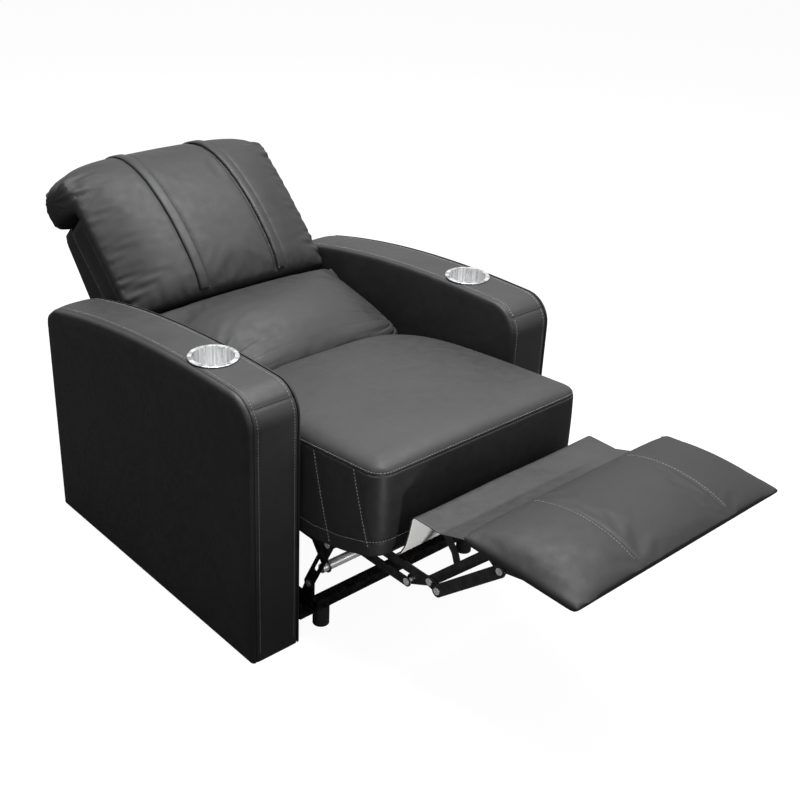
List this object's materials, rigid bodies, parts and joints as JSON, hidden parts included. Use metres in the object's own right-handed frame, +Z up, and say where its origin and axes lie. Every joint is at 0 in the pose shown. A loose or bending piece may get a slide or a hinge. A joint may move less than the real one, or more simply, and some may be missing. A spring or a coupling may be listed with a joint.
{
  "type": "cinema recliner seat",
  "caption": "Reclining cinema armchair with wide padded arms, cup holders, crowned seat cushion, rolled backrest and a linked fold-out footrest.",
  "frame": {"origin": "middle of the footprint at floor level, in the reclined pose", "axes": "+X across the seat to the right as seen from the front, the front faces -Y, +Z up"},
  "size_m": [0.864, 1.7928, 0.8174],
  "materials": {
    "leather": "black upholstery leather, soft sheen",
    "leather_panel": "black upholstery leather on a panel",
    "vinyl": "black vinyl cloth",
    "timber": "bare hardwood and plywood",
    "cup_steel": "stainless steel",
    "black_steel": "black enamel on pressed steel",
    "zinc": "bright zinc plate",
    "glide": "black moulded plastic",
    "web": "woven elastic webbing"
  },
  "bodies": {
    "base": {"left_arm_core": "timber", "right_arm_core": "timber", "left_arm_outer_panel": "leather_panel", "right_arm_outer_panel": "leather_panel", "left_arm_inner_panel": "leather_panel", "right_arm_inner_panel": "leather_panel", "left_arm_band": "leather_panel", "right_arm_band": "leather_panel", "left_cup_holder": "cup_steel", "right_cup_holder": "cup_steel", "left_base_rail": "black_steel", "right_base_rail": "black_steel", "front_cross_rail": "black_steel", "rear_cross_rail": "black_steel", "foot_glides": "glide", "base_plates": "black_steel", "base_rivets": "zinc"},
    "front_swing": {"front_swing_links": "black_steel"},
    "rear_swing": {"rear_swing_links": "black_steel"},
    "seat": {"seat_plates": "black_steel", "seat_rivets": "zinc", "left_seat_rail": "timber", "right_seat_rail": "timber", "seat_front_rail": "timber", "seat_rear_rail": "timber", "seat_webbing": "web", "seat_cushion": "leather", "seat_border": "leather_panel", "seat_cross_tube": "zinc", "tube_hangers": "black_steel"},
    "back": {"back_posts": "timber", "back_top_rail": "timber", "back_lower_rail": "timber", "back_brackets": "black_steel", "back_rivets": "zinc", "back_shell": "leather_panel", "back_side_panels": "leather_panel", "left_back_gusset": "leather_panel", "right_back_gusset": "leather_panel", "back_cushion": "leather", "lumbar_cushion": "leather", "left_back_strap": "leather_panel", "right_back_strap": "leather_panel"},
    "back_links": {"back_links": "black_steel"},
    "front_footrest": {"front_footrest_links": "black_steel", "front_link_rivets": "zinc"},
    "rear_footrest": {"rear_footrest_links": "black_steel"},
    "long_links": {"long_footrest_links": "black_steel", "long_link_rivets": "zinc", "flap_struts": "black_steel", "flap_tube": "black_steel"},
    "control_links": {"control_links": "black_steel"},
    "footrest": {"footrest_brackets": "black_steel", "bracket_rivets": "zinc", "footrest_board": "timber", "footrest_pad": "leather", "footrest_flap": "vinyl"}
  },
  "joints": [
    {"name": "recline", "type": "hinge", "parent": "base", "child": "front_swing", "pos_m": [0, -0.1495, 0.1227], "axis": [1, 0, 0], "range_deg": [-54, 0]},
    {"name": "rear_swing_turn", "type": "hinge", "parent": "base", "child": "rear_swing", "pos_m": [0, 0.1905, 0.1227], "axis": [1, 0, 0], "range_deg": [-54.1, 0]},
    {"name": "seat_carry", "type": "hinge", "parent": "front_swing", "child": "seat", "pos_m": [0, -0.21745, 0.26201], "axis": [1, 0, 0], "range_deg": [0, 54.1]},
    {"name": "back_tilt", "type": "hinge", "parent": "seat", "child": "back", "pos_m": [0, 0.3255, 0.36], "axis": [1, 0, 0], "range_deg": [0, 30.1]},
    {"name": "back_link_turn", "type": "hinge", "parent": "base", "child": "back_links", "pos_m": [0, 0.3255, 0.12], "axis": [1, 0, 0], "range_deg": [-44.8, 0]},
    {"name": "front_footrest_turn", "type": "hinge", "parent": "seat", "child": "front_footrest", "pos_m": [0, -0.2903, 0.3176], "axis": [1, 0, 0], "range_deg": [0, 129.1]},
    {"name": "rear_footrest_turn", "type": "hinge", "parent": "seat", "child": "rear_footrest", "pos_m": [0, -0.23647, 0.29111], "axis": [1, 0, 0], "range_deg": [0, 129.1]},
    {"name": "long_link_turn", "type": "hinge", "parent": "front_footrest", "child": "long_links", "pos_m": [0, -0.49899, 0.32008], "axis": [1, 0, 0], "range_deg": [-129.1, 0]},
    {"name": "control_link_turn", "type": "hinge", "parent": "front_footrest", "child": "control_links", "pos_m": [0, -0.52533, 0.31462], "axis": [1, 0, 0], "range_deg": [-129.4, 0]},
    {"name": "footrest_fold", "type": "hinge", "parent": "long_links", "child": "footrest", "pos_m": [0, -0.6449, 0.4659], "axis": [1, 0, 0], "range_deg": [0, 90.1], "deforming": ["footrest_flap"]}
  ],
  "couplings": [
    {"joint": "rear_swing_turn", "follows": "recline", "ratio": 1},
    {"joint": "seat_carry", "follows": "recline", "ratio": -1},
    {"joint": "back_tilt", "follows": "recline", "ratio": -0.55556},
    {"joint": "back_link_turn", "follows": "recline", "ratio": 0.82815},
    {"joint": "front_footrest_turn", "follows": "recline", "ratio": -2.3889},
    {"joint": "rear_footrest_turn", "follows": "recline", "ratio": -2.3889},
    {"joint": "long_link_turn", "follows": "recline", "ratio": 2.3889},
    {"joint": "control_link_turn", "follows": "recline", "ratio": 2.3935},
    {"joint": "footrest_fold", "follows": "recline", "ratio": -1.6667}
  ]
}
